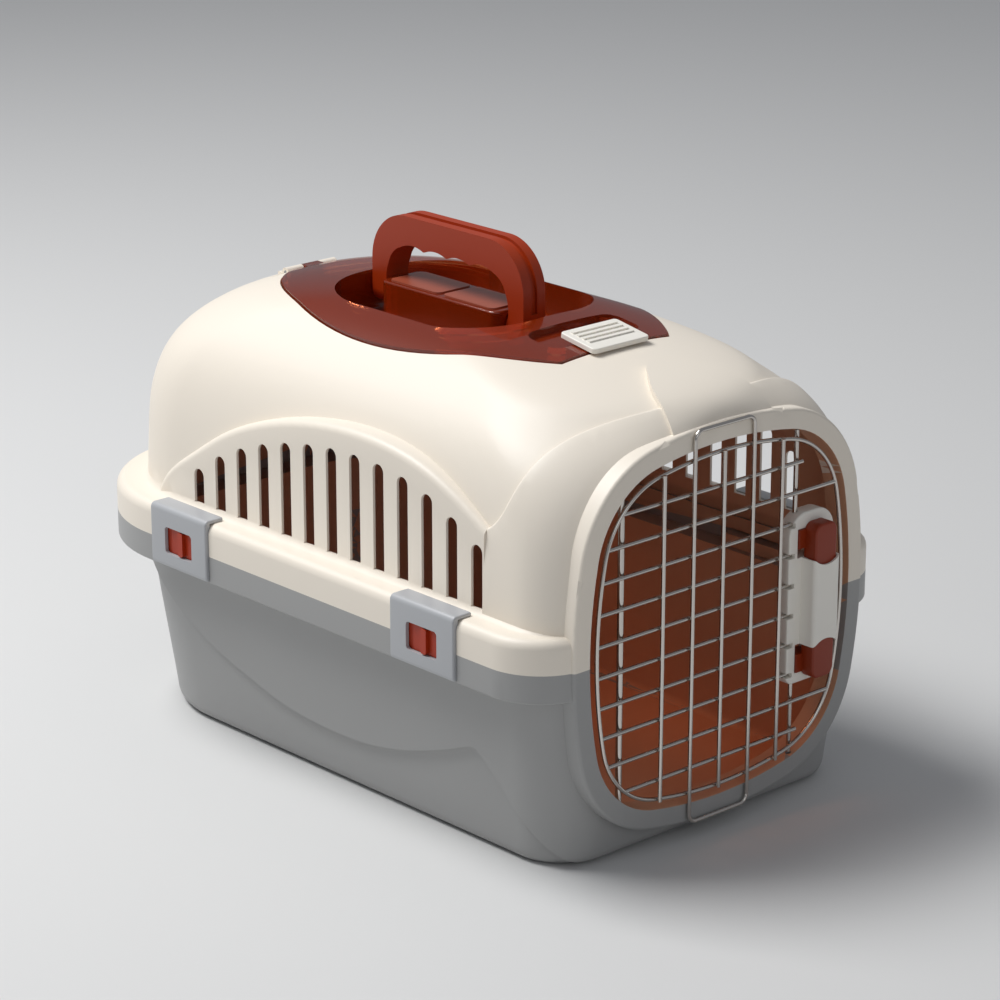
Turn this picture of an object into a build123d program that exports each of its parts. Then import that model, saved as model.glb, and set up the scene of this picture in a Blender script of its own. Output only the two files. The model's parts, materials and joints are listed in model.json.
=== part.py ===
from build123d import *
import math
import os

# Small-pet travel carrier. Millimetres, +Z up, +X towards the wire door, +Y across.
# The origin is the middle of the resting face, between the rear flange and the door ring.

# ---- shells -------------------------------------------------------------
BODY_LENGTH = 476.0        # rear of the flange to the face of the door ring
FLANGE_WIDTH = 310.0       # across the flange, without the clips
PARTING_Z = 134.5          # height of the joint between tub and upper shell
SKIRT_DROP = 18.5          # grey band below the joint
FLANGE_RISE = 21.5         # cream band above the joint
WALL = 2.8                 # moulded wall
FLANGE_WALL = 4.4          # wall of the two flange bands
FLANGE_REAR_R = 100.0
FLANGE_FRONT_R = 40.0
FLANGE_EDGE_R = 6.5
SKIRT_EDGE_R = 1.5
COVE_R = 8.0               # soft foot of the upper wall on the flange
COVE_STEPS = 4
COVE_LAP = 0.5             # cove sunk into the wall and the flange
COVE_REAR_X = -219.0
COVE_FRONT_X = 233.0
COVE_REAR_R = 93.0
COVE_FRONT_R = 33.0
COVE_FRONT_SHARE = 0.4     # the cove narrows round the front corners
PANEL_HALF = 137.5         # half-width over the upright slotted panels
TUB_EDGE_R = 9.0

# ---- slots --------------------------------------------------------------
SLOT_COUNT = 13
SLOT_PITCH = 22.45
SLOT_FIRST_X = -103.7
SLOT_WIDTH = 10.0
SLOT_FOOT_Z = 159.5
PANEL_WALL = 1.8           # wall of the slotted panels
SLOT_MARGIN = 15.0         # solid band between the arch and the slot ends

# ---- door ---------------------------------------------------------------
DOOR_Z = 138.0             # height of the middle of the door
DOOR_HALF_W = 106.5        # rim wire, to its middle
DOOR_HALF_H = 108.5
DOOR_CORNER_R = 55.0
DOOR_SIDE_R = 300.0
OPENING_GAP = 6.5          # rim wire to the edge of the opening
RING_BAND = 13.0           # flat band round the opening
RING_DEPTH = 18.0
RING_PROUD = 0.8           # face of the ring before the face of the flange
WIRE_D = 2.7
WIRE_GAP = 0.05            # between crossing wires
WELD_GAP = 0.02            # wire end to the wire it is welded to
CROSS_PITCH = 19.7
CROSS_COUNT = 10
UPRIGHT_PITCH = 25.5
UPRIGHT_MID_Y = -3.5
LOOP_OVERLAP = 12.0        # stop loop past the opening, top and bottom
HINGE_ROD_D = 4.0
HINGE_ROD_Y = -84.0
ROD_SEAT = 6.0             # hinge rod inside the ring, each end
DOOR_FACE_GAP = 0.4        # loop to the face of the ring
RING_EDGE_R = 2.5
OPENING_BACK = 60.0        # depth cut clear behind the ring's face

# ---- door latch ---------------------------------------------------------
LATCH_HEIGHT = 112.0
LATCH_PLATE_Y0 = 55.0
LATCH_COVER_H = 57.0
LATCH_DEPTH = 12.0
LATCH_BUTTON_H = 22.5
LATCH_TRAVEL = 6.0
LATCH_ROD_D = 3.0
LATCH_ROD_Y = 66.0
LATCH_TIP_GAP = 0.4
LATCH_BACK = 6.0           # base behind the plane of the rim wire
LATCH_FRONT = 3.6          # base in front of it
LATCH_RISE = -2.0          # middle of the base above the middle of the door
COVER_DROP = 3.5           # middle of the cover below it
CROSS_DROP = 2.2
LATCH_END_BAND = 3.0       # no cross wire ends this near the ends of the base

# ---- side clips ---------------------------------------------------------
CLIP_X = (-102.0, 137.5)
CLIP_WIDTH = 58.0
CLIP_T = 4.0
CLIP_PROUD = 2.4
CLIP_TAB = 14.5
CLIP_PIN_D = 2.6
CLIP_PIN_SEAT = 4.0
WINDOW_W = 28.0
WINDOW_H = 18.0
WINDOW_R = 2.5
CLIP_SIDE_R = 1.2
CLIP_BUTTON_TRAVEL = 4.0
CLIP_RIB_W = 5.0
RIB_PROUD = 0.2
RIB_END = 0.6
RIB_R = 1.5
BUTTON_SUNK = 2.4
BUTTON_R = 2.2
RUN_GAP = 0.35             # between parts that move past each other
PIN_GAP = 0.06             # radial, pin in bore

# ---- skylight lid -------------------------------------------------------
LID_X = 6.5
LID_HALF_L = 158.0
LID_HALF_W = 87.0
LID_FRONT_X = 141.0
LID_PROUD = 1.2
LID_SKIN = 2.8
LID_RIM_T = 5.0
LID_GAP = 1.2
LID_SEAT_W = 7.0
LID_HINGE_R = 3.4
LID_PIN_D = 3.0
BOWL_X = 1.0               # oval bowl that takes the folded handle
BOWL_HALF_L = 83.0
BOWL_HALF_W = 63.0
BOWL_FLOOR_Z = 271.0
PLINTH_HALF_L = 55.9
PLINTH_HALF_W = 18.0
PLINTH_TOP_Z = 297.0
PLATE_T = 1.0

# ---- handle -------------------------------------------------------------
HANDLE_X = -5.0
HANDLE_HALF_L = 73.0
HANDLE_Y = 19.0
HANDLE_LEG = 16.0
HANDLE_TOP_Z = 341.0
HANDLE_BAR = 21.0
HANDLE_CORNER_R = 33.0
HANDLE_PIVOT_Z = 287.0
HANDLE_PIN_D = 5.0

PIN_IN_LEG = 9.0
PIN_IN_PLINTH = 2.2
FINGER_COUNT = 4
FINGER_PITCH = 22.0
FINGER_R = 26.0
FINGER_DEPTH = 2.2
GROOVE_FOOT_Z = 296.0      # the groove runs from here over the bow and down to here
GROOVE_HALF_W = 2.5
GROOVE_DEPTH = 2.0

# ---- smaller forms ------------------------------------------------------
COLLAR_PROUD = 2.8         # collar round the door above the dome
COLLAR_SOFT = 2.0
COLLAR_FOOT_Z = 100.0
COLLAR_EDGE_MIN = 30.0     # the long edges of the collar are the ones made soft
PAD_PROUD = 4.6
PAD_FOOT_Z = 240.0
PAD_REACH = 70.0           # upright length of the pad's cutter
LEDGE_R = 5.0              # rounded top edge of the slotted panels
SEAT_DEPTH = 4.3           # sunken seat of the lid below the dome
SEAT_RIM_W = 6.0
SEAT_DROP = 0.6            # thick rim starts just under the outside
CREASE_LAP = 6.0           # front and rear parts of the crease overlap
PANEL_RECESS = 3.0         # lower side panel below the proud parts
LIP_RISE = 3.0
LIP_DROP = 6.0
LIP_LAP = 0.5
LIP_T = 1.8
CLIP_TOP_T = 2.2
CLIP_EDGE_R = 3.5
CLIP_KNUCKLE_R = 2.6
CLIP_PIN_Z = PARTING_Z - SKIRT_DROP + 4.2
CLIP_PIN_Y = FLANGE_WIDTH / 2 - 2.0
CLIP_SWING_R = 5.3
BOSS_END = 3.0             # boss past the end of the pin
BOSS_DEPTH = 14.0
BOSS_RISE = 7.0
WINDOW_Z = PARTING_Z + 1.5
BASE_SPREAD = 2.0
BASE_LAP = 2.0
BASE_T = 1.1
BASE_BACK = 0.1
SEAT_END = 0.3             # end clearance of a pin in its seat
LID_RIM_W = 5.0
LID_CUT_Z = (200.0, 330.0) # reach of the lid's upright outline
LID_HINGE_X = LID_X - LID_HALF_L - 3.0
LID_HINGE_Z = 284.2
LID_KNUCKLE_W = 14.0
SHELL_ARM_L = 8.0
SHELL_ARM_TOP = 0.5
LID_ARM_L = 9.0
LID_ARM_FOOT = 1.5
KNUCKLE_ROOM = 0.6         # radial room round a knuckle that turns
LIFT_ROOM = (-1.0, 14.0, -3.0, 20.0)   # room for the lid's knuckle arm: x from, x to, z from, z to
BOWL_CORNER_R = 46.0
BOWL_WALL = 2.5
BOWL_SOFT = 4.0
PLINTH_WALL = 3.0
PLINTH_R = 6.0
PLINTH_SOFT = 1.5
PLATE_R = 4.0
PLATE_LENGTH = 48.0
PLATE_GAP = 4.0
PLATE_HALF_W = 15.0
WELL_X0 = 98.0
WELL_X1 = 128.0
WELL_HALF_W = 38.0
WELL_DEPTH = 3.4
WELL_R = 9.0
WELL_LAP = 0.5
BOWL_LAP = 0.4             # bowl wall let into the lid's skin
LID_SLOPE = math.radians(9.2)
LID_LATCH_X0 = 116.0
LID_LATCH_Z0 = 296.2
LID_LATCH_L = 31.5
LID_LATCH_HALF_W = 24.0
LID_LATCH_T = 3.2
LID_LATCH_TRAVEL = 8.0
LATCH_STEM_X = 4.0
LATCH_STEM_L = 8.0
LATCH_STEM_HALF_W = 9.0
LATCH_STEM_H = 14.0
LATCH_TONGUE = 3.0
LATCH_TONGUE_T = 2.5
SLOT_END = 0.5
LID_LATCH_R = 3.0
LID_LATCH_SOFT = 0.8
LATCH_RIBS = 4
LATCH_RIB_PITCH = 5.0
LATCH_RIB_W = 2.0
LATCH_RIB_PROUD = 1.0

NOTCH_DEPTH = 5.0
LOOP_BEND_R = 6.0
KEEPER_DEPTH = 7.0
LATCH_PLATE_W = 40.0
LATCH_ARCH_R = 15.0
LATCH_TOE_R = 6.0
LATCH_SOFT = 1.2
LEG_ROOM = 0.4
COVER_R = 3.0
BUTTON_END_R = 6.0
BUTTON_SOFT = 1.5
ROD_BOSS = 1.2             # leg past its rod
ROD_FIT = 0.05
LEG_Z = 35.0
LEG_H = 12.0
LEG_HALF_W = 3.6
LEG_SIDE = 6.0
COVER_W = 23.0
COVER_T = 1.5
SCOOP_R = 16.0
SCOOP_DEPTH = 4.0
BUTTON_LAP = 6.0
SPRING_R = 3.0
SPRING_WIRE_R = 0.45
SPRING_END = 0.1
SPRING_TURNS = 9

SEAM_Y = 2.0               # the halves of the dome are drawn a little past the middle
DOME_FOOT_Z = 131.0
DOME_TOP_Z = 330.0         # top of the block that the dome's skin cuts
DOME_INSIDE = (0, -40, 200)
NORMAL_T = 0.02            # steps used to find the dome's normal, up and round
NORMAL_S = 0.004

HALF_L = BODY_LENGTH / 2
HALF_FLANGE = FLANGE_WIDTH / 2
RING_X = HALF_L
SKIRT_Z = PARTING_Z - SKIRT_DROP
FLANGE_Z = PARTING_Z + FLANGE_RISE
BIG = 700.0                # larger than the carrier, for cutters
CLEAR = 10.0               # cutter past a surface that it cuts through
TOUCH = 0.1                # tolerance when edges are picked by place

# outline rows: height, rear x, front x, half-width, rear corner, front corner
DOME = [
    (126.0, -223.5, 234, 136.8, 92.0, 33),
    (150.0, -222.6, 234, 136.4, 92.0, 33),
    (172.0, -221.6, 234, 135.8, 91.0, 34.5),
    (192.0, -220.0, 234, 134.6, 89.2, 37.2),
    (210.0, -219.3, 234, 132.6, 86.6, 42.2),
    (226.0, -215.9, 234, 129.6, 84.2, 50.3),
    (240.0, -210.9, 233.9, 125.2, 82.0, 61.7),
    (251.5, -205.0, 233.8, 119.3, 80.3, 75.5),
    (261.0, -197.6, 233.0, 111.7, 79.5, 90.1),
    (268.5, -189.1, 230.2, 103.8, 79.1, 100.8),
    (274.5, -179.7, 222.7, 96.7, 78.2, 94.7),
    (279.5, -169.2, 205.7, 90.7, 76.8, 88.7),
    (284.5, -155.3, 179.3, 83.6, 74.0, 81.6),
    (289.2, -136.7, 151.4, 75.2, 69.0, 73.2),
    (293.2, -114.7, 124.5, 65.5, 61.2, 63.5),
    (296.6, -86.5, 97.7, 52.9, 49.9, 50.9),
    (299.2, -49.9, 69.8, 35.8, 33.6, 33.8),
    (300.4, -12.5, 42, 16.5, 14.5, 14.5),
    (300.5, 0, 30, -2.0, 0, 0),
]
PLAN_STEPS = 160           # points round half the dome
HEIGHT_STEPS = 60          # points up the dome
SKIN_TOL = 0.05            # fit of the dome's skin to its points
# the same with the lean of the wall at the end
TUB = [
    (0.0, -206, 227, 128.5, 86, 38, 0),
    (40.0, -211, 229.5, 132.8, 88, 37, 6),
    (80.0, -216, 232, 137.5, 90, 36, 6),
    (SKIRT_Z + 4, -220, 234, 141.5, 91, 36, 6),
]
ARCH = [(-152, 150), (-146, 165), (-113, 192), (-86, 209), (-49, 226), (-4, 238.5), (40, 244), (78, 243.5),
        (115, 237), (150, 223), (172, 211)]
COLLAR = [(172, 211), (184, 226), (189, 244), (194, 259), (205, 270), (222, 277), (236, 283)]
PAD = [(176, 5), (190, 20), (199, 27), (219, 37), (240, 44)]
CREASE = [(-190, 122), (-160, 101), (-134, 83), (-108, 67), (-56, 48), (-30, 41), (12, 36.5), (55, 37.5),
          (94, 45), (131, 57), (157, 67.5)]
CREASE_FRONT = [(162, 67.5), (170, 61), (186, 45), (199, 30), (222, 3)]


# ---- shared shapes ------------------------------------------------------
def plan_wire(z, rear, front, half, rear_r, front_r):
    """Rounded rectangle at one height, always with the same eight edges."""
    a = Vector(rear + rear_r, -half, z)
    b = Vector(front - front_r, -half, z)
    c = Vector(front, -half + front_r, z)
    d = Vector(front, half - front_r, z)
    e = Vector(front - front_r, half, z)
    f = Vector(rear + rear_r, half, z)
    g = Vector(rear, half - rear_r, z)
    h = Vector(rear, -half + rear_r, z)
    s = math.sqrt(0.5)

    def corner(p, q, cx, cy, r, sx, sy):
        return ThreePointArc(p, Vector(cx + sx * r * s, cy + sy * r * s, z), q)

    return Wire([
        Line(a, b),
        corner(b, c, front - front_r, -half + front_r, front_r, 1, -1),
        Line(c, d),
        corner(d, e, front - front_r, half - front_r, front_r, 1, 1),
        Line(e, f),
        corner(f, g, rear + rear_r, half - rear_r, rear_r, -1, 1),
        Line(g, h),
        corner(h, a, rear + rear_r, -half + rear_r, rear_r, -1, -1),
    ])


def loft_rows(rows, inset=0.0):
    """Smooth body through the outline rows, moved in along each row's own lean."""
    wires = []
    for z, rear, front, half, rear_r, front_r, lean in rows:
        across = inset * math.cos(math.radians(lean))
        down = inset * math.sin(math.radians(lean))
        half_in = half - across
        rear_in = min(rear_r - across * 0.5, half_in - 0.5)
        front_in = min(max(front_r - across, 6.0), half_in - 0.5)
        wires.append(plan_wire(z - down, rear + across, front - across, half_in, rear_in, front_in))
    return Solid.make_loft(wires)


def blend_rows(rows, t):
    """Row numbers at a place along the rows, on a smooth curve that the rows steer."""
    last = len(rows) - 1
    index = min(int(t), last - 1)
    f = t - index
    weights = ((1 - f) ** 3 / 6, (3 * f ** 3 - 6 * f ** 2 + 4) / 6,
               (-3 * f ** 3 + 3 * f ** 2 + 3 * f + 1) / 6, f ** 3 / 6)
    total = [0.0] * 6
    for k, weight in enumerate(weights):
        row = index - 1 + k
        if row < 0:
            values = [2 * a - b for a, b in zip(rows[0], rows[1])]
        elif row > last:
            values = [2 * a - b for a, b in zip(rows[last], rows[last - 1])]
        else:
            values = rows[row]
        total = [x + weight * y for x, y in zip(total, values)]
    return total


def half_outline(row, share):
    """Point on the left half of a row's outline, from the rear middle (0) to the front middle (1)."""
    z, rear, front, half, rear_r, front_r = row
    legs = (half - rear_r + SEAM_Y, rear_r * math.pi / 2, front - front_r - rear - rear_r,
            front_r * math.pi / 2, half - front_r + SEAM_Y)
    run = share * sum(legs)
    leg = 0
    while leg < 4 and run > legs[leg]:
        run -= legs[leg]
        leg += 1
    f = run / max(legs[leg], 1e-9)
    turn = f * math.pi / 2
    if leg == 0:
        return Vector(rear, SEAM_Y - run, z)
    if leg == 1:
        return Vector(rear + rear_r * (1 - math.cos(turn)), rear_r - half - rear_r * math.sin(turn), z)
    if leg == 2:
        return Vector(rear + rear_r + run, -half, z)
    if leg == 3:
        return Vector(front - front_r * (1 - math.sin(turn)), front_r * (1 - math.cos(turn)) - half, z)
    return Vector(front, front_r - half + run, z)


def dome_point(t, share, inset):
    """Point of the dome, moved in along its own normal."""
    here = half_outline(blend_rows(DOME, t), share)
    if inset == 0:
        return here
    last = len(DOME) - 1.0
    t0, t1 = max(t - NORMAL_T, 0.0), min(t + NORMAL_T, last)
    s0, s1 = max(share - NORMAL_S, 0.0), min(share + NORMAL_S, 1.0)
    along = half_outline(blend_rows(DOME, t), s1) - half_outline(blend_rows(DOME, t), s0)
    up = half_outline(blend_rows(DOME, t1), share) - half_outline(blend_rows(DOME, t0), share)
    normal = along.cross(up)
    if t > last - 0.01:
        normal = Vector(0, 0, 1)
    normal = normal.normalized()
    if share <= 0 or share >= 1:
        normal = Vector(normal.X, 0, normal.Z).normalized()
    return here - normal * inset


DOME_CACHE = {}


def dome(inset=0.0):
    """Solid under the dome, moved in (or out, if negative) by an even distance."""
    if inset not in DOME_CACHE:
        places = [k / PLAN_STEPS for k in range(PLAN_STEPS + 1)]
        heights = [k * (len(DOME) - 1) / HEIGHT_STEPS for k in range(HEIGHT_STEPS + 1)]
        grid = [[dome_point(t, s, inset) for s in places] for t in heights]
        skin = Face.make_surface_from_array_of_points(grid, tol=SKIN_TOL, min_deg=3, max_deg=3)
        foot = DOME_FOOT_Z if inset <= 0 else DOME_FOOT_Z - 3
        slug = block(-HALF_L - CLEAR, HALF_L + CLEAR, -HALF_FLANGE, 0, foot, DOME_TOP_Z)
        parts = slug.split(skin, keep=Keep.BOTH)
        solids = [solid for part in parts if part for solid in part.solids()]
        inner = [solid for solid in solids if solid.is_inside(Vector(*DOME_INSIDE))][0]
        DOME_CACHE[inset] = join(inner, mirror_y(inner))
    return DOME_CACHE[inset]


def slab(z0, z1, rear, front, half, rear_r, front_r):
    face = Face(plan_wire(z0, rear, front, half, rear_r, front_r))
    return Solid.extrude(face, Vector(0, 0, z1 - z0))


def side_prism(points, y0, y1, closing):
    """Prism along Y under a smooth curve in the XZ plane, closed by straight lines."""
    curve = Spline(*[Vector(x, y0, z) for x, z in points])
    corners = [Vector(points[-1][0], y0, points[-1][1])]
    corners += [Vector(x, y0, z) for x, z in closing]
    corners += [Vector(points[0][0], y0, points[0][1])]
    face = Face(Wire([curve] + [Line(p, q) for p, q in zip(corners, corners[1:])]))
    return Solid.extrude(face, Vector(0, y1 - y0, 0))


def cyl(radius, start, direction, length):
    plane = Plane(origin=start, z_dir=direction)
    return Solid.make_cylinder(radius, length, plane)


def block(x0, x1, y0, y1, z0, z1):
    return Solid.make_box(x1 - x0, y1 - y0, z1 - z0, Plane(origin=(x0, y0, z0)))


def mirror_y(shape):
    return shape.mirror(Plane.XZ)


# ---- door outline -------------------------------------------------------
def corner_centre(half_w, half_h):
    """Middle of the corner arc that runs smoothly into the bowed sides."""
    reach = DOOR_SIDE_R - DOOR_CORNER_R
    x1, y1 = half_w - DOOR_SIDE_R, 0.0
    x2, y2 = 0.0, half_h - DOOR_SIDE_R
    mx, my = (x1 + x2) / 2, (y1 + y2) / 2
    gap = math.hypot(x2 - x1, y2 - y1)
    lift = math.sqrt(reach ** 2 - (gap / 2) ** 2)
    ux, uy = -(y2 - y1) / gap, (x2 - x1) / gap
    if ux < 0:
        ux, uy = -ux, -uy
    return mx + ux * lift, my + uy * lift


def door_wire(x, offset):
    """Bowed rounded outline round the door's middle, moved out by an offset."""
    half_w, half_h = DOOR_HALF_W, DOOR_HALF_H
    cy, cz = corner_centre(half_w, half_h)
    side_r = DOOR_SIDE_R + offset
    corner_r = DOOR_CORNER_R + offset
    sy, sz = half_w - DOOR_SIDE_R, half_h - DOOR_SIDE_R
    side_angle = math.atan2(cz, cy - sy)
    top_angle = math.atan2(cz - sz, cy)

    def at(y, z):
        return Vector(x, y, DOOR_Z + z)

    side_end = (sy + side_r * math.cos(side_angle), side_r * math.sin(side_angle))
    top_end = (side_r * math.cos(top_angle), sz + side_r * math.sin(top_angle))
    mid_angle = (side_angle + top_angle) / 2
    mid = (cy + corner_r * math.cos(mid_angle), cz + corner_r * math.sin(mid_angle))
    right = half_w + offset
    top = half_h + offset
    edges = [
        ThreePointArc(at(side_end[0], -side_end[1]), at(right, 0), at(*side_end)),
        ThreePointArc(at(*side_end), at(*mid), at(*top_end)),
        ThreePointArc(at(*top_end), at(0, top), at(-top_end[0], top_end[1])),
        ThreePointArc(at(-top_end[0], top_end[1]), at(-mid[0], mid[1]), at(-side_end[0], side_end[1])),
        ThreePointArc(at(-side_end[0], side_end[1]), at(-right, 0), at(-side_end[0], -side_end[1])),
        ThreePointArc(at(-side_end[0], -side_end[1]), at(-mid[0], -mid[1]), at(-top_end[0], -top_end[1])),
        ThreePointArc(at(-top_end[0], -top_end[1]), at(0, -top), at(top_end[0], -top_end[1])),
        ThreePointArc(at(top_end[0], -top_end[1]), at(mid[0], -mid[1]), at(side_end[0], -side_end[1])),
    ]
    return Wire(edges)


def outline_height(y, offset):
    """Half-height of the door outline at a place across it."""
    cy, cz = corner_centre(DOOR_HALF_W, DOOR_HALF_H)
    sz = DOOR_HALF_H - DOOR_SIDE_R
    side_r = DOOR_SIDE_R + offset
    corner_r = DOOR_CORNER_R + offset
    y = abs(y)
    top_angle = math.atan2(cz - sz, cy)
    if y <= side_r * math.cos(top_angle):
        return sz + math.sqrt(side_r ** 2 - y ** 2)
    return cz + math.sqrt(corner_r ** 2 - (y - cy) ** 2)


def outline_width(z, offset):
    """Half-width of the door outline at a height above its middle."""
    cy, cz = corner_centre(DOOR_HALF_W, DOOR_HALF_H)
    sy = DOOR_HALF_W - DOOR_SIDE_R
    side_r = DOOR_SIDE_R + offset
    corner_r = DOOR_CORNER_R + offset
    z = abs(z)
    side_angle = math.atan2(cz, cy - sy)
    if z <= side_r * math.sin(side_angle):
        return sy + math.sqrt(side_r ** 2 - z ** 2)
    return cy + math.sqrt(corner_r ** 2 - (z - cz) ** 2)


def door_prism(x0, x1, offset):
    return Solid.extrude(Face(door_wire(x0, offset)), Vector(x1 - x0, 0, 0))


def door_ring():
    """Raised band round the opening, shared by both shells."""
    ring = door_prism(RING_X - RING_DEPTH, RING_X, OPENING_GAP + RING_BAND)
    outer_edges = ring.edges().filter_by(lambda e: e.center().X > RING_X - 0.1)
    return ring.fillet(RING_EDGE_R, outer_edges)


def door_opening():
    return door_prism(RING_X - OPENING_BACK, RING_X + CLEAR, OPENING_GAP)


# ---- booleans -----------------------------------------------------------
def tidy(result):
    solids = [s for s in result.solids() if s.volume > 0.5]
    return solids[0] if len(solids) == 1 else Compound(solids)


def join(first, *others):
    return tidy(first.fuse(*others))


def cut(base, *tools):
    return tidy(base.cut(*tools))


def common(base, tool):
    return tidy(base.intersect(tool))


# ---- lid outline --------------------------------------------------------
def lid_prism(offset, z0=LID_CUT_Z[0], z1=LID_CUT_Z[1]):
    """Ellipse with a straight front, moved out by an offset, as an upright prism."""
    ellipse = Face(Wire([Edge.make_ellipse(LID_HALF_L + offset, LID_HALF_W + offset,
                                           Plane(origin=(LID_X, 0, z0)))]))
    prism = Solid.extrude(ellipse, Vector(0, 0, z1 - z0))
    keep = block(-BIG, LID_FRONT_X + offset, -BIG, BIG, z0 - 1, z1 + 1)
    return common(prism, keep)


def soft_edges(solid, radius, test):
    """Round the edges that pass the test."""
    return tidy(solid.fillet(radius, [e for e in solid.edges() if test(e)]))


def rounded_box(x0, x1, y0, y1, z0, z1, radius, axis=Axis.Z):
    box = block(x0, x1, y0, y1, z0, z1)
    return tidy(box.fillet(radius, box.edges().filter_by(axis)))


# ---- shell bodies -------------------------------------------------------
def flange(z0, z1, inset):
    return slab(z0, z1, -HALF_L + inset, HALF_L - RING_PROUD - inset, HALF_FLANGE - inset,
                FLANGE_REAR_R - inset, FLANGE_FRONT_R - inset)


def behind_ring_face():
    """Everything that stays behind the face of the door ring."""
    return block(-BIG, RING_X - RING_PROUD, -BIG, BIG, 0, BIG)


def collar():
    """Raised collar of the dome round the top and sides of the door."""
    closing = [(BIG, COLLAR[-1][1]), (BIG, COLLAR_FOOT_Z), (COLLAR[0][0], COLLAR_FOOT_Z)]
    region = side_prism(COLLAR, -BIG, BIG, closing)
    raised = common(common(dome(-COLLAR_PROUD), region), behind_ring_face())
    return soft_edges(raised, COLLAR_SOFT,
                      lambda e: e.geom_type == GeomType.BSPLINE and e.length > COLLAR_EDGE_MIN
                      and COLLAR[0][0] - CLEAR < e.center().X < RING_X - 2 * CLEAR
                      and e.center().Z > COLLAR[0][1] - CLEAR)


def pad():
    """Tongue-shaped pad in the middle of the front edge."""
    curve = [Vector(x, -y, PAD_FOOT_Z) for x, y in reversed(PAD)]
    curve += [Vector(x, y, PAD_FOOT_Z) for x, y in PAD]
    outline = Spline(*curve)
    face = Face(Wire([outline, Line(curve[-1], curve[0])]))
    raised = common(dome(-PAD_PROUD), Solid.extrude(face, Vector(0, 0, PAD_REACH)))
    return common(raised, behind_ring_face())


def side_panels(inset):
    closing = [(ARCH[-1][0], PARTING_Z + 1), (ARCH[0][0], PARTING_Z + 1)]
    arch = [(x, z) for x, z in ARCH]
    half = PANEL_HALF - inset
    prism = side_prism(arch, -half, half, closing)
    if inset:
        return prism.moved(Location((0, 0, -inset)))
    return soft_edges(prism, LEDGE_R, lambda e: e.geom_type == GeomType.BSPLINE)


def cove():
    """Soft foot where the upper wall stands on the flange."""
    rows = []
    for step in range(COVE_STEPS + 1):
        turn = math.radians(step * 90 / COVE_STEPS)
        out = COVE_R * (1 - math.sin(turn))
        up = COVE_R * (1 - math.cos(turn))
        rows.append((FLANGE_Z - COVE_LAP + up, COVE_REAR_X - out, COVE_FRONT_X, PANEL_HALF - COVE_LAP + out,
                     COVE_REAR_R + out, COVE_FRONT_R + out * COVE_FRONT_SHARE, 0))
    return loft_rows(rows)


def slot_top(x):
    """Height of the rounded end of a slot, a fixed margin below the arch."""
    curve = Spline(*[Vector(px, 0, pz) for px, pz in ARCH])
    line = Edge.make_line(Vector(x, 0, 0), Vector(x, 0, 400))
    hits = curve.edge().intersect(line)
    point = hits.vertices()[0] if hits.vertices() else hits[0]
    return point.Z - SLOT_MARGIN


def slots():
    cutters = []
    for index in range(SLOT_COUNT):
        x = SLOT_FIRST_X + SLOT_PITCH * index
        top = slot_top(x) - SLOT_WIDTH / 2
        for side in (-1, 1):
            y0 = side * (PANEL_HALF - 3 * WALL)
            reach = Vector(0, side * (HALF_FLANGE + 5 - (PANEL_HALF - 3 * WALL)), 0)
            cutters.append(block(x - SLOT_WIDTH / 2, x + SLOT_WIDTH / 2, min(y0, y0 + reach.Y),
                                 max(y0, y0 + reach.Y), SLOT_FOOT_Z, top))
            cutters.append(cyl(SLOT_WIDTH / 2, (x, y0, top), (0, side, 0), abs(reach.Y)))
    return cutters


def clip_pockets():
    """Recesses in both flange bands that take the side clips and their hinge pins."""
    cutters = []
    half = CLIP_WIDTH / 2 + RUN_GAP
    floor_y = HALF_FLANGE + CLIP_PROUD - CLIP_T - RUN_GAP
    for x in CLIP_X:
        pocket = block(x - half, x + half, floor_y, HALF_FLANGE + CLEAR, SKIRT_Z - CLEAR, FLANGE_Z + 1)
        tab = block(x - half, x + half, HALF_FLANGE + CLIP_PROUD - CLIP_TAB - RUN_GAP,
                    HALF_FLANGE + CLEAR, FLANGE_Z, FLANGE_Z + CLEAR)
        knuckle = cyl(CLIP_KNUCKLE_R + RUN_GAP, (x - half, CLIP_PIN_Y, CLIP_PIN_Z), (1, 0, 0), 2 * half)
        swing = common(cyl(CLIP_SWING_R, (x - half, CLIP_PIN_Y, CLIP_PIN_Z), (1, 0, 0), 2 * half),
                       block(x - half, x + half, 0, BIG, SKIRT_Z - CLEAR, CLIP_PIN_Z))
        bore = cyl(CLIP_PIN_D / 2 + PIN_GAP, (x - half - CLIP_PIN_SEAT, CLIP_PIN_Y, CLIP_PIN_Z),
                   (1, 0, 0), 2 * (half + CLIP_PIN_SEAT))
        for tool in (pocket, tab, knuckle, swing, bore):
            cutters.append(tool)
            cutters.append(mirror_y(tool))
    return cutters


def clip_bosses():
    """Thick places inside the skirt that carry the clip hinge pins."""
    bosses = []
    half = CLIP_WIDTH / 2 + CLIP_PIN_SEAT + BOSS_END
    for x in CLIP_X:
        boss = block(x - half, x + half, HALF_FLANGE - BOSS_DEPTH, HALF_FLANGE - 1, SKIRT_Z,
                     CLIP_PIN_Z + BOSS_RISE)
        bosses += [boss, mirror_y(boss)]
    return bosses


def lid_seat_zone():
    """Thicker rim of the shell under the lid, as a closed band."""
    band = cut(lid_prism(LID_GAP + SEAT_RIM_W), lid_prism(-LID_SEAT_W))
    return cut(common(band, dome(SEAT_DROP)), dome(SEAT_DEPTH + WALL))


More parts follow.
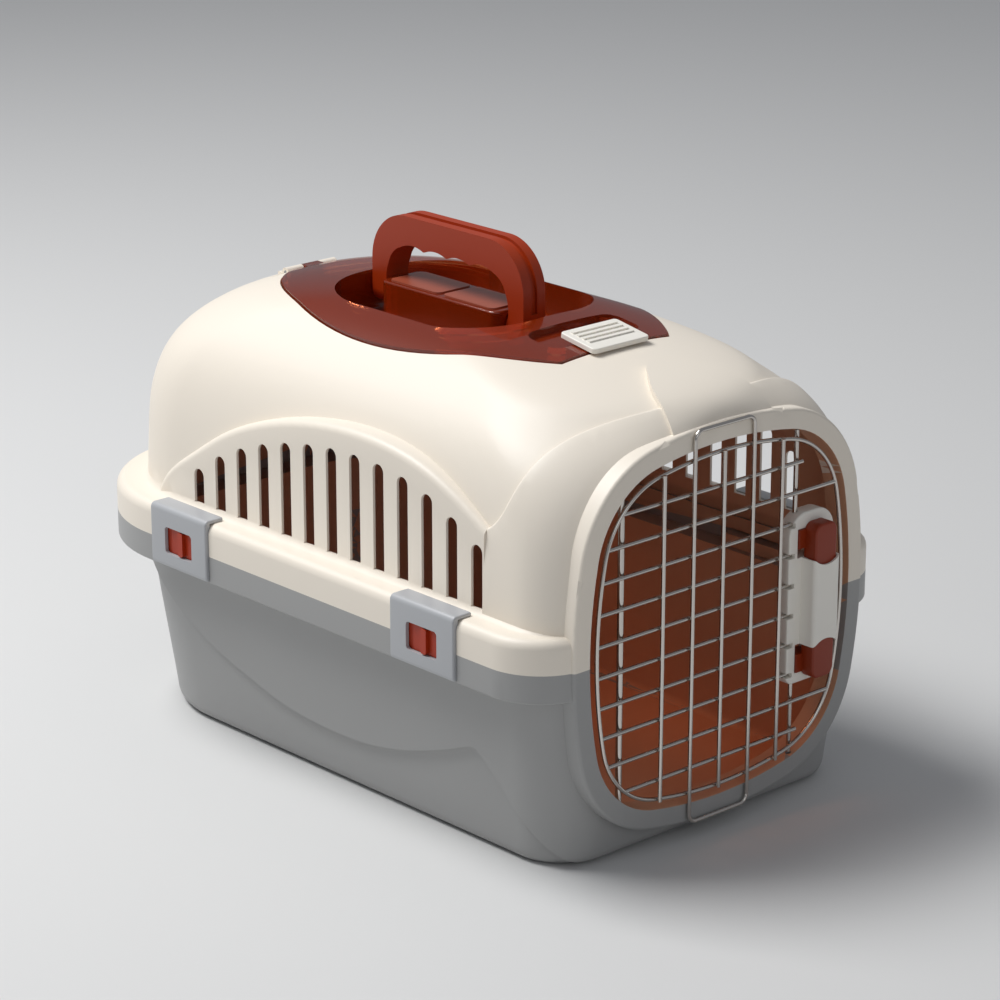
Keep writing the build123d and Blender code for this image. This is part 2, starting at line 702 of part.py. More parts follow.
def make_upper_shell():
    skylight = lid_prism(-LID_SEAT_W)
    outer = join(cut(dome(), skylight), side_panels(0.0))
    outer = join(outer, cove())
    band = soft_edges(flange(PARTING_Z, FLANGE_Z, 0.0), FLANGE_EDGE_R,
                      lambda e: e.center().Z > FLANGE_Z - TOUCH)
    outer = join(outer, band)
    outer = join(outer, collar())
    outer = join(outer, pad())
    body = cut(outer, dome(WALL))
    body = cut(body, side_panels(PANEL_WALL))
    body = cut(body, flange(PARTING_Z - 1, FLANGE_Z - FLANGE_WALL, FLANGE_WALL))
    body = join(body, lid_seat_zone())
    ring = common(door_ring(), block(0, BIG, -BIG, BIG, PARTING_Z, BIG))
    body = join(body, ring)
    body = cut(body, door_opening())
    body = common(body, block(-BIG, BIG, -BIG, BIG, PARTING_Z, BIG))
    seat = cut(lid_prism(LID_GAP), dome(SEAT_DEPTH))
    body = cut(body, seat)
    body = cut(body, *slots())
    body = cut(body, *clip_pockets())
    body = join(body, *lid_knuckles(True))
    body = cut(body, *lid_knuckle_space(False))
    return cut(body, *door_seats())


def make_lower_tub():
    recessed = loft_rows(TUB, PANEL_RECESS)
    recessed = soft_edges(recessed, TUB_EDGE_R, lambda e: abs(e.center().Z) < TOUCH)
    proud = soft_edges(loft_rows(TUB), TUB_EDGE_R, lambda e: abs(e.center().Z) < TOUCH)
    top = PARTING_Z + CLEAR
    above = side_prism(CREASE, -BIG, BIG, [(CREASE[-1][0], top), (CREASE[0][0], top)])
    (x0, z0), (_, z1) = CREASE_FRONT[0], CREASE_FRONT[-1]
    front = side_prism(CREASE_FRONT, -BIG, BIG, [(BIG, z1), (BIG, top), (x0 - CREASE_LAP, top),
                                                 (x0 - CREASE_LAP, z0)])
    outer = join(recessed, common(proud, join(above, front)))
    band = soft_edges(flange(SKIRT_Z, PARTING_Z, 0.0), SKIRT_EDGE_R, lambda e: e.center().Z < SKIRT_Z + TOUCH)
    outer = join(outer, band)
    cavity_rows = [(WALL, *TUB[0][1:])] + [tuple(row) for row in TUB[1:]]
    cavity = loft_rows(cavity_rows, PANEL_RECESS + WALL)
    cavity = soft_edges(cavity, TUB_EDGE_R - WALL, lambda e: abs(e.center().Z - WALL) < TOUCH)
    hollow = flange(SKIRT_Z + WALL, PARTING_Z + 1, FLANGE_WALL)
    body = cut(outer, cavity, hollow)
    inside = flange(PARTING_Z - LIP_DROP - 1, PARTING_Z + LIP_RISE + 1, FLANGE_WALL + RUN_GAP + LIP_T)
    lip = flange(PARTING_Z - LIP_DROP, PARTING_Z + LIP_RISE, FLANGE_WALL + RUN_GAP)
    foot = flange(PARTING_Z - LIP_DROP, PARTING_Z - LIP_RISE, FLANGE_WALL - LIP_LAP)
    lip = cut(join(lip, foot), inside)
    lip = common(lip, block(-BIG, RING_X - RING_DEPTH - LIP_DROP, -BIG, BIG, 0, BIG))
    body = join(body, lip, *clip_bosses())
    ring = common(door_ring(), block(0, BIG, -BIG, BIG, 0, PARTING_Z))
    body = join(body, ring)
    body = cut(body, door_opening())
    body = cut(body, *clip_pockets())
    return cut(body, *door_seats())


# ---- side clips ---------------------------------------------------------
def clip_section(x0, x1):
    """Hook-shaped section of a side clip, standing in its pocket."""
    out_y = HALF_FLANGE + CLIP_PROUD
    in_y = out_y - CLIP_T
    top = FLANGE_Z + RUN_GAP + CLIP_TOP_T
    plate = block(x0, x1, in_y, out_y, CLIP_PIN_Z, top)
    tab = block(x0, x1, out_y - CLIP_TAB, out_y, FLANGE_Z + RUN_GAP, top)
    shape = join(plate, tab)
    shape = soft_edges(shape, CLIP_EDGE_R, lambda e: abs(e.center().Y - out_y) < TOUCH
                       and abs(e.center().Z - top) < TOUCH)
    knuckle = cyl(CLIP_KNUCKLE_R, (x0, CLIP_PIN_Y, CLIP_PIN_Z), (1, 0, 0), x1 - x0)
    toe = common(cyl(out_y - CLIP_PIN_Y, (x0, CLIP_PIN_Y, CLIP_PIN_Z), (1, 0, 0), x1 - x0),
                 block(x0, x1, CLIP_PIN_Y, out_y, CLIP_PIN_Z - CLIP_KNUCKLE_R, CLIP_PIN_Z))
    return join(shape, knuckle, toe)


def make_clip(x):
    half = CLIP_WIDTH / 2
    body = clip_section(x - half, x + half)
    out_y = HALF_FLANGE + CLIP_PROUD
    body = soft_edges(body, CLIP_SIDE_R, lambda e: abs(abs(e.center().X - x) - half) < TOUCH
                      and abs(e.center().Y - out_y) < TOUCH and e.length > CLEAR)
    window = rounded_box(x - WINDOW_W / 2, x + WINDOW_W / 2, HALF_FLANGE - CLEAR, HALF_FLANGE + CLEAR,
                         WINDOW_Z - WINDOW_H / 2, WINDOW_Z + WINDOW_H / 2, WINDOW_R, Axis.Y)
    base_half = WINDOW_W / 2 + BASE_SPREAD + RUN_GAP
    rebate = block(x - base_half - CLIP_BUTTON_TRAVEL, x + base_half,
                   out_y - CLIP_T - 1, out_y - CLIP_T + BASE_T + RUN_GAP,
                   WINDOW_Z - WINDOW_H / 2 - BASE_LAP - RUN_GAP, WINDOW_Z + WINDOW_H / 2 + BASE_LAP + RUN_GAP)
    bore = cyl(CLIP_PIN_D / 2 + PIN_GAP, (x - half - 1, CLIP_PIN_Y, CLIP_PIN_Z), (1, 0, 0), CLIP_WIDTH + 2)
    return cut(body, window, rebate, bore)


def make_clip_button(x):
    """Push piece in the clip's window; it slides one travel towards the rear."""
    out_y = HALF_FLANGE + CLIP_PROUD
    back = out_y - CLIP_T + BASE_BACK
    x0 = x - WINDOW_W / 2 + CLIP_BUTTON_TRAVEL + RUN_GAP
    x1 = x + WINDOW_W / 2 - RUN_GAP
    z0 = WINDOW_Z - WINDOW_H / 2 + RUN_GAP
    z1 = WINDOW_Z + WINDOW_H / 2 - RUN_GAP
    face = rounded_box(x0, x1, back, out_y - BUTTON_SUNK, z0, z1, BUTTON_R, Axis.Y)
    mid = (x0 + x1) / 2
    rib = rounded_box(mid - CLIP_RIB_W / 2, mid + CLIP_RIB_W / 2, back, out_y + RIB_PROUD,
                      z0 + RIB_END, z1 - RIB_END, RIB_R, Axis.Y)
    base = block(x0 - CLIP_BUTTON_TRAVEL - BASE_SPREAD, x1 + BASE_SPREAD, back, out_y - CLIP_T + BASE_T,
                 z0 - BASE_LAP, z1 + BASE_LAP)
    return join(face, rib, base)


def make_clip_pin(x):
    length = CLIP_WIDTH + 2 * (RUN_GAP + CLIP_PIN_SEAT - SEAT_END)
    return cyl(CLIP_PIN_D / 2, (x - length / 2, CLIP_PIN_Y, CLIP_PIN_Z), (1, 0, 0), length)


# ---- skylight lid -------------------------------------------------------
def bowl_prism(offset, z0, z1):
    return rounded_box(BOWL_X - BOWL_HALF_L - offset, BOWL_X + BOWL_HALF_L + offset,
                       -BOWL_HALF_W - offset, BOWL_HALF_W + offset, z0, z1, BOWL_CORNER_R + offset)


def lid_knuckles(on_shell):
    pieces = []
    runs = [(-LID_KNUCKLE_W * 1.5 - RUN_GAP, -LID_KNUCKLE_W / 2 - RUN_GAP),
            (LID_KNUCKLE_W / 2 + RUN_GAP, LID_KNUCKLE_W * 1.5 + RUN_GAP)]
    if not on_shell:
        runs = [(-LID_KNUCKLE_W / 2, LID_KNUCKLE_W / 2)]
    for y0, y1 in runs:
        barrel = cyl(LID_HINGE_R, (LID_HINGE_X, y0, LID_HINGE_Z), (0, 1, 0), y1 - y0)
        if on_shell:
            arm = block(LID_HINGE_X - SHELL_ARM_L, LID_HINGE_X, y0, y1, LID_HINGE_Z - LID_HINGE_R,
                        LID_HINGE_Z - SHELL_ARM_TOP)
        else:
            arm = block(LID_HINGE_X, LID_HINGE_X + LID_ARM_L, y0, y1, LID_HINGE_Z - LID_ARM_FOOT,
                        LID_HINGE_Z + LID_HINGE_R)
        pieces.append(join(barrel, arm))
    return pieces


def lid_knuckle_space(on_lid):
    """Room for the other side's knuckles, and the bore for the pin."""
    reach = LID_KNUCKLE_W * 3
    bore = cyl(LID_PIN_D / 2 + PIN_GAP, (LID_HINGE_X, -reach, LID_HINGE_Z), (0, 1, 0), 2 * reach)
    if on_lid:
        half = LID_KNUCKLE_W * 1.5 + 2 * RUN_GAP
        room = cyl(LID_HINGE_R + KNUCKLE_ROOM + RUN_GAP, (LID_HINGE_X, -half, LID_HINGE_Z), (0, 1, 0),
                   2 * half)
        return [cut(room, block(-BIG, BIG, -LID_KNUCKLE_W / 2, LID_KNUCKLE_W / 2, 0, BIG)), bore]
    half = LID_KNUCKLE_W / 2 + RUN_GAP
    room = cyl(LID_HINGE_R + KNUCKLE_ROOM, (LID_HINGE_X, -half, LID_HINGE_Z), (0, 1, 0), 2 * half)
    x0, x1, z0, z1 = LIFT_ROOM
    lift = block(LID_HINGE_X + x0, LID_HINGE_X + x1, -half, half, LID_HINGE_Z + z0, LID_HINGE_Z + z1)
    return [room, lift, bore]


def well_prism(offset):
    return rounded_box(WELL_X0 - offset, WELL_X1 + offset, -WELL_HALF_W - offset, WELL_HALF_W + offset,
                       *LID_CUT_Z, WELL_R + offset)


def make_skylight_lid():
    top = common(lid_prism(0.0), dome(-LID_PROUD))
    skin = cut(top, dome(LID_SKIN - LID_PROUD))
    rim = common(cut(lid_prism(0.0), lid_prism(-LID_RIM_W)), dome(0.0))
    rim = cut(rim, dome(LID_RIM_T - LID_PROUD))
    bowl_out = common(bowl_prism(BOWL_WALL, BOWL_FLOOR_Z - BOWL_WALL, LID_CUT_Z[1]),
                      dome(BOWL_LAP - LID_PROUD))
    well_floor = cut(common(well_prism(BOWL_WALL), dome(WELL_LAP)), dome(WELL_DEPTH + LID_SKIN))
    body = join(skin, rim)
    body = join(body, bowl_out)
    body = join(body, well_floor)
    bowl_in = soft_edges(bowl_prism(0.0, BOWL_FLOOR_Z, LID_CUT_Z[1]), BOWL_SOFT,
                         lambda e: abs(e.center().Z - BOWL_FLOOR_Z) < TOUCH)
    well_in = cut(well_prism(0.0), dome(WELL_DEPTH))
    body = cut(body, bowl_in, well_in)
    body = join(body, plinth())
    body = cut(body, plinth_hollow())
    body = cut(body, *pivot_bores())
    body = cut(body, *lid_knuckle_space(True)[:1])
    body = join(body, *lid_knuckles(False))
    body = cut(body, lid_knuckle_space(True)[1], lid_latch_slot())
    return body


def plinth():
    shape = rounded_box(HANDLE_X - PLINTH_HALF_L, HANDLE_X + PLINTH_HALF_L, -PLINTH_HALF_W, PLINTH_HALF_W,
                        BOWL_FLOOR_Z - 1, PLINTH_TOP_Z, PLINTH_R)
    return soft_edges(shape, PLINTH_SOFT, lambda e: abs(e.center().Z - PLINTH_TOP_Z) < TOUCH)


def plinth_hollow():
    wall = PLINTH_WALL
    return block(HANDLE_X - PLINTH_HALF_L + wall, HANDLE_X + PLINTH_HALF_L - wall,
                 -PLINTH_HALF_W + wall, PLINTH_HALF_W - wall, BOWL_FLOOR_Z - CLEAR, PLINTH_TOP_Z - wall)


def make_plinth_plate(side):
    mid = HANDLE_X + side * (PLATE_GAP + PLATE_LENGTH) / 2
    plate = rounded_box(mid - PLATE_LENGTH / 2, mid + PLATE_LENGTH / 2, -PLATE_HALF_W, PLATE_HALF_W,
                        PLINTH_TOP_Z, PLINTH_TOP_Z + PLATE_T, PLATE_R)
    return plate


def make_lid_hinge_pin():
    half = LID_KNUCKLE_W * 1.5 + RUN_GAP
    return cyl(LID_PIN_D / 2, (LID_HINGE_X, -half, LID_HINGE_Z), (0, 1, 0), 2 * half)


# ---- lid latch ----------------------------------------------------------
def latch_plane():
    """Tilted frame on the lid's front slope, at the latch's rear end."""
    return Plane(origin=(LID_LATCH_X0, 0, LID_LATCH_Z0), x_dir=(math.cos(LID_SLOPE), 0, -math.sin(LID_SLOPE)),
                 z_dir=(math.sin(LID_SLOPE), 0, math.cos(LID_SLOPE)))


def tilted_box(x0, x1, half_y, z0, z1, radius=0.0):
    box = Solid.make_box(x1 - x0, 2 * half_y, z1 - z0, Plane(origin=(x0, -half_y, z0)))
    if radius:
        box = tidy(box.fillet(radius, box.edges().filter_by(Axis.Z)))
    return box.moved(latch_plane().location)


def lid_latch_slot():
    return tilted_box(LATCH_STEM_X - LID_LATCH_TRAVEL - SLOT_END, LATCH_STEM_X + LATCH_STEM_L + SLOT_END,
                      LATCH_STEM_HALF_W + RUN_GAP, -2 * LATCH_STEM_H, LATCH_STEM_H)


def make_lid_latch():
    plate = tilted_box(0, LID_LATCH_L, LID_LATCH_HALF_W, 0, LID_LATCH_T, LID_LATCH_R)
    plate = soft_edges(plate, LID_LATCH_SOFT, lambda e: abs(
        latch_plane().to_local_coords(e.center()).Z - LID_LATCH_T) < TOUCH / 2)
    ribs = []
    for index in range(LATCH_RIBS):
        x = LATCH_RIB_PITCH * (index + 1)
        ribs.append(tilted_box(x, x + LATCH_RIB_W, LID_LATCH_HALF_W - LATCH_RIB_PITCH, LID_LATCH_T - 0.5,
                               LID_LATCH_T + LATCH_RIB_PROUD))
    stem = tilted_box(LATCH_STEM_X, LATCH_STEM_X + LATCH_STEM_L, LATCH_STEM_HALF_W, -LATCH_STEM_H, 0.5)
    foot = tilted_box(LATCH_STEM_X, LATCH_STEM_X + LATCH_STEM_L + LATCH_TONGUE, LATCH_STEM_HALF_W - 2,
                      -LATCH_STEM_H, -LATCH_STEM_H + LATCH_TONGUE_T)
    return join(plate, *ribs, stem, foot)


# ---- handle -------------------------------------------------------------
def handle_groove():
    """Channel along the outside of the bow, up one leg, over the top and down the other."""
    half = HANDLE_HALF_L - GROOVE_DEPTH
    top = HANDLE_TOP_Z - GROOVE_DEPTH
    core = block(HANDLE_X - half, HANDLE_X + half, -GROOVE_HALF_W, GROOVE_HALF_W, HANDLE_PIVOT_Z, top)
    core = soft_edges(core, HANDLE_CORNER_R - GROOVE_DEPTH, lambda e: abs(e.center().Z - top) < TOUCH
                      and abs(abs(e.center().X - HANDLE_X) - half) < TOUCH)
    band = block(HANDLE_X - HANDLE_HALF_L - 1, HANDLE_X + HANDLE_HALF_L + 1, -GROOVE_HALF_W, GROOVE_HALF_W,
                 GROOVE_FOOT_Z, HANDLE_TOP_Z + 1)
    return cut(band, core)


def make_handle():
    y0 = -HANDLE_Y / 2
    outer = block(HANDLE_X - HANDLE_HALF_L, HANDLE_X + HANDLE_HALF_L, y0, -y0, HANDLE_PIVOT_Z, HANDLE_TOP_Z)
    outer = soft_edges(outer, HANDLE_CORNER_R, lambda e: abs(e.center().Z - HANDLE_TOP_Z) < TOUCH
                       and abs(abs(e.center().X - HANDLE_X) - HANDLE_HALF_L) < TOUCH)
    inner_half = HANDLE_HALF_L - HANDLE_LEG
    inner = block(HANDLE_X - inner_half, HANDLE_X + inner_half, y0 - 1, 1 - y0, HANDLE_PIVOT_Z - HANDLE_Y,
                  HANDLE_TOP_Z - HANDLE_BAR)
    inner = soft_edges(inner, HANDLE_CORNER_R - HANDLE_LEG,
                       lambda e: abs(e.center().Z - HANDLE_TOP_Z + HANDLE_BAR) < TOUCH
                       and abs(abs(e.center().X - HANDLE_X) - inner_half) < TOUCH)
    body = cut(outer, inner)
    lobes = []
    for index in range(FINGER_COUNT):
        x = HANDLE_X + (index - (FINGER_COUNT - 1) / 2) * FINGER_PITCH
        z = HANDLE_TOP_Z - HANDLE_BAR - FINGER_R + FINGER_DEPTH
        lobes.append(cyl(FINGER_R, (x, y0 - 1, z), (0, 1, 0), HANDLE_Y + 2))
    body = cut(body, *lobes)
    ends = []
    for side in (-1, 1):
        x = HANDLE_X + side * (HANDLE_HALF_L - HANDLE_LEG / 2)
        ends.append(cyl(HANDLE_Y / 2, (x - HANDLE_LEG / 2, 0, HANDLE_PIVOT_Z), (1, 0, 0), HANDLE_LEG))
    body = join(body, *ends)
    body = cut(body, handle_groove())
    return cut(body, *pivot_bores())


def pin_runs(extra):
    """Ends of the two handle pins, from inside the legs into the plinth."""
    inner = HANDLE_HALF_L - HANDLE_LEG
    return [(HANDLE_X - inner - PIN_IN_LEG - extra, HANDLE_X - PLINTH_HALF_L + PIN_IN_PLINTH + extra),
            (HANDLE_X + PLINTH_HALF_L - PIN_IN_PLINTH - extra, HANDLE_X + inner + PIN_IN_LEG + extra)]


def pivot_bores():
    return [cyl(HANDLE_PIN_D / 2 + PIN_GAP, (x0, 0, HANDLE_PIVOT_Z), (1, 0, 0), x1 - x0)
            for x0, x1 in pin_runs(SEAT_END)]


def make_handle_pin(index):
    x0, x1 = pin_runs(0.0)[index]
    return cyl(HANDLE_PIN_D / 2, (x0, 0, HANDLE_PIVOT_Z), (1, 0, 0), x1 - x0)


# ---- wire door ----------------------------------------------------------
WIRE_R = WIRE_D / 2
FRAME_X = RING_X + DOOR_FACE_GAP + WIRE_R - WIRE_D - WIRE_GAP     # rim and cross wires
UPRIGHT_X = FRAME_X + WIRE_D + WIRE_GAP                           # upright wires and loop
HINGE_ROD_X = FRAME_X - WIRE_R - HINGE_ROD_D / 2 - WIRE_GAP
LATCH_BACK_X = FRAME_X - LATCH_BACK
LATCH_FACE_X = FRAME_X + LATCH_FRONT
ROD_X = FRAME_X - WIRE_R - LATCH_ROD_D / 2 - RUN_GAP
LATCH_Z0 = DOOR_Z + LATCH_RISE - LATCH_HEIGHT / 2
LATCH_Z1 = DOOR_Z + LATCH_RISE + LATCH_HEIGHT / 2
COVER_Z = DOOR_Z - COVER_DROP
UPRIGHTS = [UPRIGHT_MID_Y + UPRIGHT_PITCH * k for k in (-2, 0, 2)]
LOOP_LEGS = [UPRIGHT_MID_Y + UPRIGHT_PITCH * k for k in (-1, 1)]
CROSS_Z = [DOOR_Z - CROSS_DROP + CROSS_PITCH * (k - (CROSS_COUNT - 1) / 2) for k in range(CROSS_COUNT)]


def make_rim_wire(extra=0.0):
    """Closed wire round the door; with an extra radius it trims the wires that end on it."""
    path = door_wire(FRAME_X, 0.0)
    plane = Plane(origin=path.position_at(0), z_dir=path.tangent_at(0))
    section = Face(Wire([Edge.make_circle(WIRE_R + extra, plane)]))
    return tidy(Solid.sweep(section, path))


def make_cross_wires():
    """Horizontal wires; the middle ones end in the latch, the outermost at the rods."""
    rim = make_rim_wire(WELD_GAP)
    wires = []
    for z in CROSS_Z:
        reach = outline_width(z - DOOR_Z, 0.0)
        end = reach
        if LATCH_Z0 + LATCH_END_BAND < z < LATCH_Z1 - LATCH_END_BAND:
            end = LATCH_PLATE_Y0 + NOTCH_DEPTH - SEAT_END
        if z in (CROSS_Z[0], CROSS_Z[-1]):
            end = min(reach, LATCH_ROD_Y + 2)
        wires.append(cut(cyl(WIRE_R, (FRAME_X, -reach, z), (0, 1, 0), reach + end), rim))
    return Compound(wires)


def make_uprights():
    wires = []
    for y in UPRIGHTS:
        half = outline_height(y, WIRE_R * 0.6)
        wires.append(cyl(WIRE_R, (UPRIGHT_X, y, DOOR_Z - half), (0, 0, 1), 2 * half))
    return Compound(wires)


def make_stop_loop():
    """Closed wire loop that rests on the ring above and below the opening."""
    y0, y1 = LOOP_LEGS
    half = outline_height(y1, OPENING_GAP) + LOOP_OVERLAP
    z0, z1, r = DOOR_Z - half, DOOR_Z + half, LOOP_BEND_R
    q = r * (1 - math.sqrt(0.5))

    def at(y, z):
        return Vector(UPRIGHT_X, y, z)

    path = Wire([
        Line(at(y0, DOOR_Z), at(y0, z1 - r)),
        ThreePointArc(at(y0, z1 - r), at(y0 + q, z1 - q), at(y0 + r, z1)),
        Line(at(y0 + r, z1), at(y1 - r, z1)),
        ThreePointArc(at(y1 - r, z1), at(y1 - q, z1 - q), at(y1, z1 - r)),
        Line(at(y1, z1 - r), at(y1, z0 + r)),
        ThreePointArc(at(y1, z0 + r), at(y1 - q, z0 + q), at(y1 - r, z0)),
        Line(at(y1 - r, z0), at(y0 + r, z0)),
        ThreePointArc(at(y0 + r, z0), at(y0 + q, z0 + q), at(y0, z0 + r)),
        Line(at(y0, z0 + r), at(y0, DOOR_Z)),
    ])
    section = Face(Wire([Edge.make_circle(WIRE_R, Plane(origin=at(y0, DOOR_Z), z_dir=(0, 0, 1)))]))
    return tidy(Solid.sweep(section, path))


def hinge_rod_span():
    half = outline_height(HINGE_ROD_Y, OPENING_GAP)
    return DOOR_Z - half - ROD_SEAT, DOOR_Z + half + ROD_SEAT


def make_hinge_rod():
    z0, z1 = hinge_rod_span()
    return cyl(HINGE_ROD_D / 2, (HINGE_ROD_X, HINGE_ROD_Y, z0), (0, 0, 1), z1 - z0)


def rod_tip(side):
    return DOOR_Z + side * (outline_height(LATCH_ROD_Y + LATCH_ROD_D / 2, OPENING_GAP) - LATCH_TIP_GAP)


def door_seats():
    """Bores in the ring for the hinge rod's ends and keeper holes for the latch rods."""
    z0, z1 = hinge_rod_span()
    seat = cyl(HINGE_ROD_D / 2 + PIN_GAP, (HINGE_ROD_X, HINGE_ROD_Y, z0 - SEAT_END), (0, 0, 1),
               z1 - z0 + 2 * SEAT_END)
    low, high = rod_tip(-1) - KEEPER_DEPTH, rod_tip(1) + KEEPER_DEPTH
    keeper = cyl(LATCH_ROD_D / 2 + RUN_GAP, (ROD_X, LATCH_ROD_Y, low), (0, 0, 1), high - low)
    return [seat, keeper]


def make_latch_base():
    y0, y1 = LATCH_PLATE_Y0, LATCH_PLATE_Y0 + LATCH_PLATE_W
    plate = block(LATCH_BACK_X, LATCH_FACE_X, y0, y1, LATCH_Z0, LATCH_Z1)
    plate = tidy(plate.fillet(LATCH_ARCH_R, [e for e in plate.edges().filter_by(Axis.X)
                                             if e.center().Z > DOOR_Z]))
    plate = tidy(plate.fillet(LATCH_TOE_R, [e for e in plate.edges().filter_by(Axis.X)
                                            if e.center().Z < DOOR_Z]))
    plate = soft_edges(plate, LATCH_SOFT, lambda e: abs(e.center().X - LATCH_FACE_X) < TOUCH / 2)
    notches = []
    for z in CROSS_Z[1:-1]:
        if LATCH_Z0 + LATCH_END_BAND < z < LATCH_Z1 - LATCH_END_BAND:
            room = WIRE_R + SEAT_END
            notches.append(block(FRAME_X - room, BIG, y0 - 1, y0 + NOTCH_DEPTH, z - room, z + room))
    rim = make_rim_room()
    rods = cyl(LATCH_ROD_D / 2 + RUN_GAP, (ROD_X, LATCH_ROD_Y, 0), (0, 0, 1), 300)
    legs = []
    for side in (-1, 1):
        ends = sorted((COVER_Z + side * (LEG_Z - LATCH_TRAVEL - LEG_ROOM),
                       COVER_Z + side * (LEG_Z + LEG_H + LEG_ROOM)))
        legs.append(block(LATCH_BACK_X - 1, LATCH_FACE_X + 1, LATCH_ROD_Y - LEG_HALF_W - RUN_GAP,
                          LATCH_ROD_Y + LEG_HALF_W + LEG_SIDE + RUN_GAP, ends[0], ends[1]))
    return cut(plate, *notches, rim, rods, *legs)


def make_rim_room():
    """Channel in the back of the latch for the rim wire behind it."""
    outer = door_prism(FRAME_X - 2 * CLEAR, FRAME_X + WIRE_R + WIRE_GAP, WIRE_R + WIRE_GAP)
    inner = door_prism(FRAME_X - 3 * CLEAR, FRAME_X + CLEAR, -WIRE_R - WIRE_GAP)
    return cut(outer, inner)


def make_latch_cover():
    y0, y1 = LATCH_ROD_Y, LATCH_ROD_Y + COVER_W
    z0, z1 = COVER_Z - LATCH_COVER_H / 2, COVER_Z + LATCH_COVER_H / 2
    shell = block(LATCH_FACE_X, LATCH_FACE_X + LATCH_DEPTH, y0, y1, z0, z1)
    shell = soft_edges(shell, COVER_R, lambda e: e.center().X > LATCH_FACE_X + LATCH_DEPTH - TOUCH
                       and e.length > LATCH_COVER_H - 1)
    inside = block(LATCH_FACE_X - 1, LATCH_FACE_X + LATCH_DEPTH - COVER_T, y0 + COVER_T, y1 - COVER_T,
                   z0 - 1, z1 + 1)
    scoops = []
    for side in (-1, 1):
        end = COVER_Z + side * (LATCH_COVER_H / 2 + SCOOP_R - SCOOP_DEPTH)
        scoops.append(cyl(SCOOP_R, (LATCH_FACE_X + LATCH_DEPTH / 3, (y0 + y1) / 2, end), (1, 0, 0),
                          LATCH_DEPTH))
    return cut(shell, inside, *scoops)


def make_latch_button(side):
    """Finger piece above or below the cover; it carries its rod by a leg through the base."""
    y0 = LATCH_ROD_Y + COVER_T + RUN_GAP
    y1 = LATCH_ROD_Y + COVER_W - COVER_T - RUN_GAP
    x0, x1 = LATCH_FACE_X + RUN_GAP, LATCH_FACE_X + LATCH_DEPTH - COVER_T - RUN_GAP
    near = COVER_Z + side * (LATCH_COVER_H / 2 - BUTTON_LAP)
    far = near + side * (LATCH_BUTTON_H + BUTTON_LAP)
    z0, z1 = sorted((near, far))
    body = block(x0, x1, y0, y1, z0, z1)
    body = tidy(body.fillet(BUTTON_END_R, [e for e in body.edges().filter_by(Axis.X)
                                           if abs(e.center().Z - far) < TOUCH]))
    body = soft_edges(body, BUTTON_SOFT, lambda e: e.center().X > x1 - TOUCH / 2
                      and abs(e.center().Z - near) > 1)
    leg_z = sorted((COVER_Z + side * LEG_Z, COVER_Z + side * (LEG_Z + LEG_H)))
    leg = block(ROD_X - LATCH_ROD_D / 2 - ROD_BOSS, x0 + 1, LATCH_ROD_Y - LEG_HALF_W,
                LATCH_ROD_Y + LEG_HALF_W + LEG_SIDE, leg_z[0], leg_z[1])
    seat = cyl(LATCH_ROD_D / 2 + ROD_FIT, (ROD_X, LATCH_ROD_Y, leg_z[0] - 1), (0, 0, 1), LEG_H + 2)
    return cut(join(body, leg), seat)


def make_latch_rod(side):
    start = COVER_Z + side * LEG_Z
    tip = rod_tip(side)
    z0, z1 = sorted((start, tip))
    return cyl(LATCH_ROD_D / 2, (ROD_X, LATCH_ROD_Y, z0), (0, 0, 1), z1 - z0)


def coil(radius, wire_r, height, turns, plane):
    helix = Wire([Edge.make_helix(height / turns, height, radius)])
    start = helix.position_at(0)
    section = Face(Wire([Edge.make_circle(wire_r, Plane(origin=start, z_dir=helix.tangent_at(0)))]))
    spring = tidy(Solid.sweep(section, helix, is_frenet=True))
    return spring.moved(plane.location)


def make_latch_spring():
    near = LATCH_COVER_H / 2 - BUTTON_LAP
    x = LATCH_FACE_X + (LATCH_DEPTH - COVER_T) / 2
    y = LATCH_ROD_Y + COVER_W / 2
    half = near - SPRING_WIRE_R - SPRING_END
    return coil(SPRING_R, SPRING_WIRE_R, 2 * half, SPRING_TURNS, Plane(origin=(x, y, COVER_Z - half)))


# ---- export -------------------------------------------------------------
def save(shape, name):
    export_step(shape, "parts/" + name + ".step")


def main():
    os.makedirs("parts", exist_ok=True)
    save(make_upper_shell(), "upper_shell")
    save(make_lower_tub(), "lower_tub")
    kinds = {"clip": make_clip, "clip_button": make_clip_button, "clip_pin": make_clip_pin}
    for x, end in zip(CLIP_X, ("rear", "front")):
        for word, make in kinds.items():
            piece = make(x)
            save(piece, word + "_" + end + "_left")
            save(mirror_y(piece), word + "_" + end + "_right")
    save(make_skylight_lid(), "skylight_lid")
    save(make_lid_hinge_pin(), "lid_hinge_pin")
    save(make_plinth_plate(-1), "plinth_plate_rear")
    save(make_plinth_plate(1), "plinth_plate_front")
    save(make_lid_latch(), "lid_latch")
    save(make_handle(), "carry_handle")
    save(make_handle_pin(0), "handle_pin_rear")
    save(make_handle_pin(1), "handle_pin_front")
    save(make_rim_wire(), "door_rim_wire")
    save(make_cross_wires(), "door_cross_wires")
    save(make_uprights(), "door_upright_wires")
    save(make_stop_loop(), "door_stop_loop")
    save(make_hinge_rod(), "door_hinge_rod")
    save(make_latch_base(), "latch_base")
    save(make_latch_cover(), "latch_cover")
    save(make_latch_button(1), "latch_button_upper")
    save(make_latch_button(-1), "latch_button_lower")
    save(make_latch_rod(1), "latch_rod_upper")
    save(make_latch_rod(-1), "latch_rod_lower")
    save(make_latch_spring(), "latch_spring")


if __name__ == "__main__":
    main()
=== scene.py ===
import bpy
import bmesh
import json
import math
from mathutils import Matrix, Vector
from mathutils.bvhtree import BVHTree

